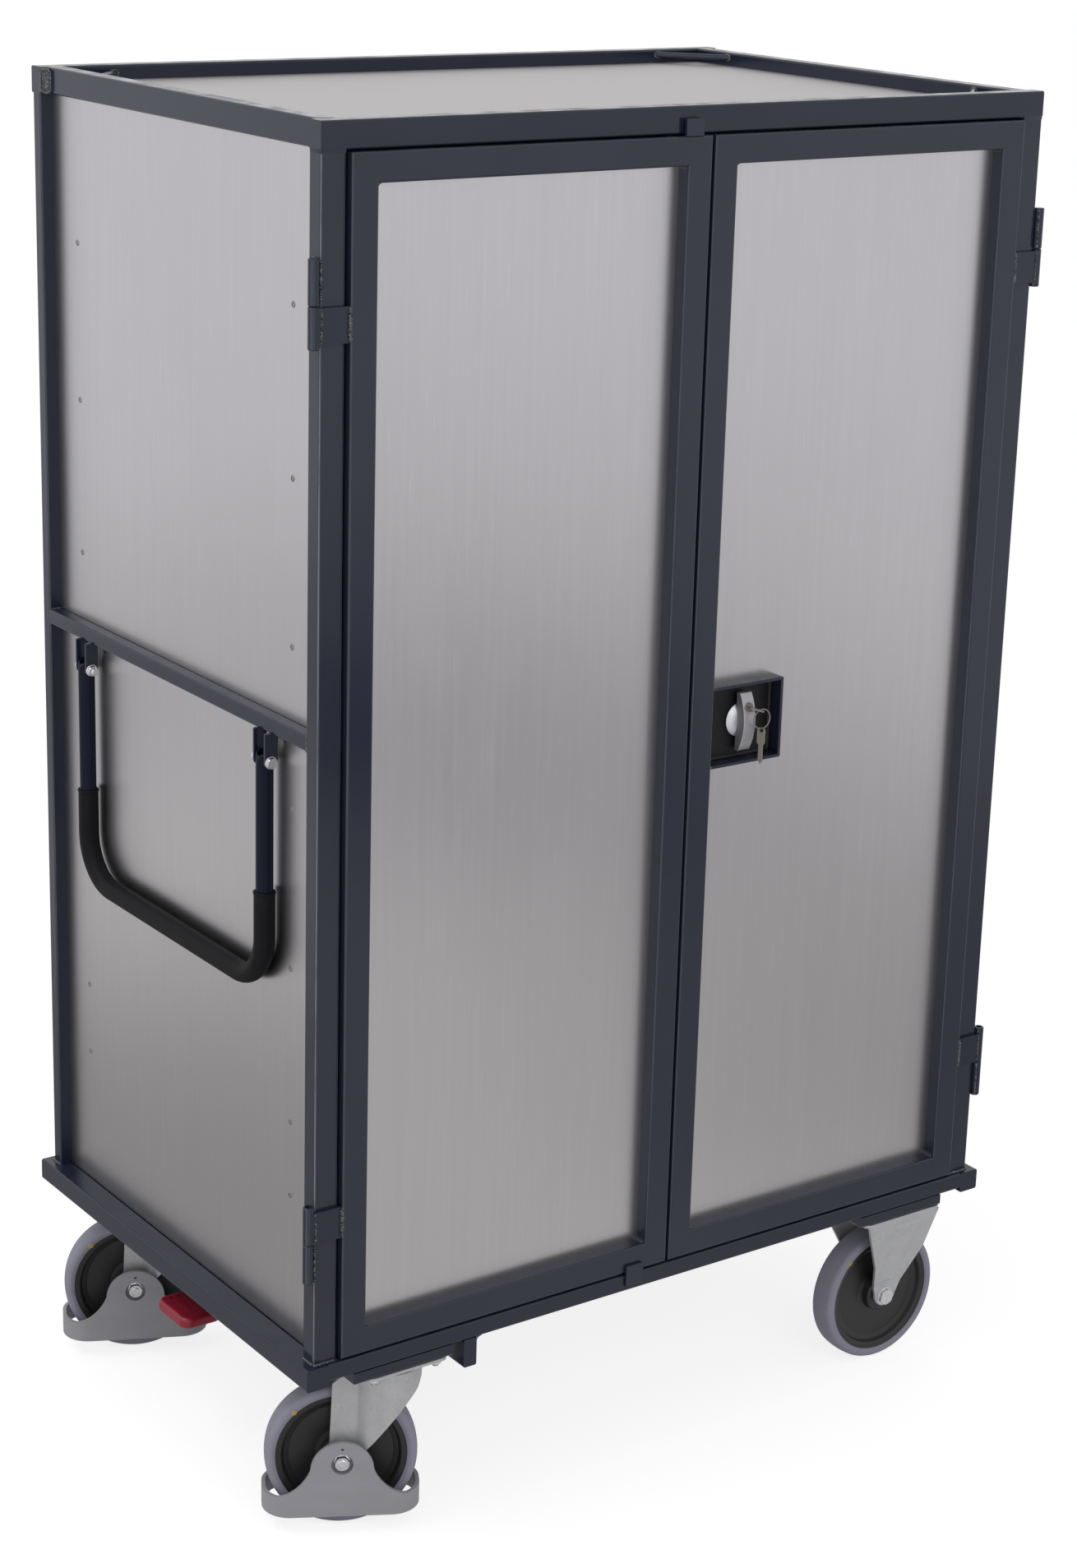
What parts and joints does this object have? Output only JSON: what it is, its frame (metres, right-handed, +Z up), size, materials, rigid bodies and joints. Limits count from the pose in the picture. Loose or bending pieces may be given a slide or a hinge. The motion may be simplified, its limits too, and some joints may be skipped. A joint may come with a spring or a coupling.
{
  "type": "cabinet trolley",
  "caption": "Tall two-door cabinet trolley of square tube and sheet, with folding push handle, lock with rods, fixed and swivel casters and a central foot brake.",
  "frame": {"origin": "centre of the footprint on the floor under the wheels", "axes": "+X along the length away from the push handle, doors face -Y, +Z up"},
  "size_m": [1.13, 0.755, 1.818],
  "materials": {
    "frame_paint": "satin powder coat",
    "panel_sheet": "fine vertical brushing",
    "light_sheet": "matt mill finish",
    "shelf_paint": "matt powder coat",
    "zinc": "bright zinc plate",
    "tyre": "soft grey rubber",
    "wheel_rim": "moulded black",
    "guard_plastic": "moulded grey",
    "pedal_red": "moulded red",
    "grip_rubber": "soft black sleeve",
    "lock_black": "fine grain black",
    "lock_metal": "satin chrome"
  },
  "bodies": {
    "cabinet": {"base_end_rails": "frame_paint", "base_long_rails": "frame_paint", "base_cross_member": "frame_paint", "tube_caps": "frame_paint", "caster_carriers": "frame_paint", "front_posts": "frame_paint", "back_posts": "frame_paint", "rim_long_rails": "frame_paint", "rim_end_rails": "frame_paint", "rim_corner_rods": "frame_paint", "mid_rails": "frame_paint", "hinge_knuckles": "frame_paint", "handle_brackets": "frame_paint", "lock_keeper": "frame_paint", "side_panels": "panel_sheet", "back_panel": "panel_sheet", "top_panel": "light_sheet", "floor_panel": "light_sheet", "shelf_rails": "shelf_paint", "shelf_clips": "shelf_paint", "shelves": "shelf_paint", "handle_pivot_bolts": "zinc", "caster_bolts": "zinc", "swivel_plates": "zinc", "fixed_forks": "zinc", "fixed_axles": "zinc"},
    "left_door": {"left_door_frame": "frame_paint", "left_door_panel": "panel_sheet", "left_door_hinge_leaves": "frame_paint"},
    "right_door": {"right_door_frame": "frame_paint", "right_door_panel": "panel_sheet", "right_door_hinge_leaves": "frame_paint", "lock_box": "frame_paint", "lock_plate": "lock_black", "lock_case": "zinc", "rod_guides": "frame_paint"},
    "knob": {"lock_knob": "lock_metal"},
    "key": {"key": "lock_metal", "key_ring": "lock_metal"},
    "upper_rod": {"lock_rod_upper": "zinc"},
    "lower_rod": {"lock_rod_lower": "zinc"},
    "handle": {"push_handle": "frame_paint", "handle_grip": "grip_rubber"},
    "swivel_front": {"swivel_fork_front": "zinc", "foot_guard_front": "guard_plastic", "swivel_axle_front": "zinc"},
    "swivel_back": {"swivel_fork_back": "zinc", "foot_guard_back": "guard_plastic", "swivel_axle_back": "zinc"},
    "swivel_wheel_front": {"swivel_tyre_front": "tyre", "swivel_rim_front": "wheel_rim"},
    "swivel_wheel_back": {"swivel_tyre_back": "tyre", "swivel_rim_back": "wheel_rim"},
    "fixed_wheel_front": {"fixed_tyre_front": "tyre", "fixed_rim_front": "wheel_rim"},
    "fixed_wheel_back": {"fixed_tyre_back": "tyre", "fixed_rim_back": "wheel_rim"},
    "brake": {"brake_pedal": "pedal_red", "brake_shaft": "zinc"},
    "plungers": {"brake_plungers": "zinc"}
  },
  "joints": [
    {"name": "left_door_hinge", "type": "hinge", "parent": "cabinet", "child": "left_door", "pos_m": [-0.5579, -0.3585, 1], "axis": [0, 0, 1], "range_deg": [-250, 0]},
    {"name": "right_door_hinge", "type": "hinge", "parent": "cabinet", "child": "right_door", "pos_m": [0.5579, -0.3585, 1], "axis": [0, 0, 1], "range_deg": [0, 250]},
    {"name": "lock_knob_turn", "type": "hinge", "parent": "right_door", "child": "knob", "pos_m": [0.0955, -0.36, 1.027], "axis": [0, 1, 0], "range_deg": [0, 90]},
    {"name": "key_turn", "type": "hinge", "parent": "knob", "child": "key", "pos_m": [0.0955, -0.3696, 1.048], "axis": [0, 1, 0], "range_deg": [0, 90]},
    {"name": "upper_rod_slide", "type": "slide", "parent": "right_door", "child": "upper_rod", "axis": [0, 0, 1], "range_m": [0, 0.015]},
    {"name": "lower_rod_slide", "type": "slide", "parent": "right_door", "child": "lower_rod", "axis": [0, 0, -1], "range_m": [0, 0.015]},
    {"name": "handle_fold", "type": "hinge", "parent": "cabinet", "child": "handle", "pos_m": [-0.549, 0, 1.042], "axis": [0, 1, 0], "range_deg": [0, 90]},
    {"name": "brake_press", "type": "hinge", "parent": "cabinet", "child": "brake", "pos_m": [-0.391, 0, 0.252], "axis": [0, -1, 0], "range_deg": [0, 15]},
    {"name": "brake_plunger_slide", "type": "slide", "parent": "cabinet", "child": "plungers", "axis": [0, 0, -1], "range_m": [0, 0.0058]},
    {"name": "swivel_front", "type": "hinge", "parent": "cabinet", "child": "swivel_front", "pos_m": [-0.411, -0.3098, 0.23], "axis": [0, 0, 1], "continuous": true},
    {"name": "swivel_wheel_front_roll", "type": "hinge", "parent": "swivel_front", "child": "swivel_wheel_front", "pos_m": [-0.46104, -0.28251, 0.1], "axis": [0.4787, 0.878, 0], "continuous": true},
    {"name": "fixed_wheel_front_roll", "type": "hinge", "parent": "cabinet", "child": "fixed_wheel_front", "pos_m": [0.428, -0.311, 0.1], "axis": [0, 1, 0], "continuous": true},
    {"name": "swivel_back", "type": "hinge", "parent": "cabinet", "child": "swivel_back", "pos_m": [-0.411, 0.2609, 0.23], "axis": [0, 0, 1], "continuous": true},
    {"name": "swivel_wheel_back_roll", "type": "hinge", "parent": "swivel_back", "child": "swivel_wheel_back", "pos_m": [-0.4624, 0.28553, 0.1], "axis": [0.4321, 0.9018, 0], "continuous": true},
    {"name": "fixed_wheel_back_roll", "type": "hinge", "parent": "cabinet", "child": "fixed_wheel_back", "pos_m": [0.428, 0.311, 0.1], "axis": [0, 1, 0], "continuous": true}
  ],
  "couplings": [
    {"joint": "upper_rod_slide", "follows": "lock_knob_turn", "m_per_rad": 0.00954},
    {"joint": "lower_rod_slide", "follows": "lock_knob_turn", "m_per_rad": 0.00954},
    {"joint": "brake_plunger_slide", "follows": "brake_press", "m_per_rad": 0.02177}
  ]
}
